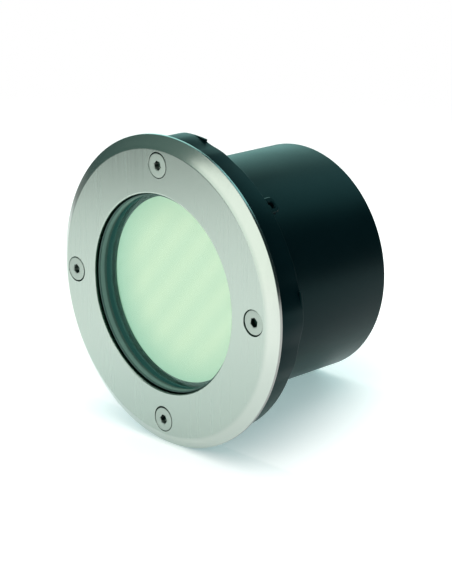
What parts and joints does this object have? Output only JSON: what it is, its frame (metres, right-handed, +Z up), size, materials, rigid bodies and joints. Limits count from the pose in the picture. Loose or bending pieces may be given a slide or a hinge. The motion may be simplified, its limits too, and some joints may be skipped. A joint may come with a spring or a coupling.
{
  "type": "recessed light",
  "caption": "Round recessed outdoor light: brushed steel cover ring with countersunk screws, frosted twist-lock disc lamp behind glass, and a black tubular sleeve with a collar.",
  "frame": {"origin": "on the light's axis, in the plane of the collar's rear seat, where the sleeve enters its hole", "axes": "+Y into the wall along the sleeve, +Z up through the top screw, +X to the right from the front"},
  "size_m": [0.11, 0.0686, 0.11],
  "materials": {
    "ring_steel": "straight brushed grain",
    "screw_steel": "turned stainless",
    "clear_glass": "clear and polished",
    "black_rubber": "satin",
    "shade_black": "matt",
    "sleeve_black": "glossy moulded",
    "housing_black": "satin moulded",
    "frosted_mint": "frosted, lit from behind",
    "tube_glass": "white coated tube",
    "lamp_white": "satin moulded",
    "brass": "machined",
    "board_green": "lacquered",
    "choke_copper": "varnished",
    "capacitor_grey": "sleeved",
    "holder_white": "satin moulded",
    "block_white": "satin moulded",
    "wire_brown": "insulation",
    "wire_blue": "insulation",
    "gland_black": "satin moulded"
  },
  "bodies": {
    "sleeve": {"mounting_sleeve": "sleeve_black"},
    "luminaire": {"lamp_housing": "housing_black", "housing_seal": "black_rubber", "threaded_inserts": "brass", "lampholder": "holder_white", "holder_contacts": "brass", "holder_screws": "screw_steel", "terminal_block": "block_white", "terminal_screws": "screw_steel", "live_wire": "wire_brown", "neutral_wire": "wire_blue", "gland_body": "gland_black", "gland_washer": "black_rubber", "gland_locknut": "gland_black", "gland_sleeve": "black_rubber", "gland_cap": "gland_black"},
    "cover": {"front_ring": "ring_steel", "ring_screws": "screw_steel", "glass": "clear_glass", "glass_seal": "black_rubber", "shade_ring": "shade_black"},
    "lamp": {"lamp_diffuser": "frosted_mint", "lamp_tube": "tube_glass", "lamp_tray": "lamp_white", "lamp_base": "lamp_white", "lamp_pins": "brass", "ballast_board": "board_green", "ballast_choke": "choke_copper", "ballast_capacitor": "capacitor_grey"}
  },
  "joints": [
    {"name": "luminaire_pull", "type": "slide", "parent": "sleeve", "child": "luminaire", "axis": [0, -1, 0], "range_m": [0, 0.075]},
    {"name": "cover_lift", "type": "slide", "parent": "luminaire", "child": "cover", "axis": [0, -1, 0], "range_m": [0, 0.04]},
    {"name": "lamp_twist", "type": "hinge", "parent": "luminaire", "child": "lamp", "pos_m": [0, 0, 0], "axis": [0, -1, 0], "range_deg": [0, 22]}
  ]
}
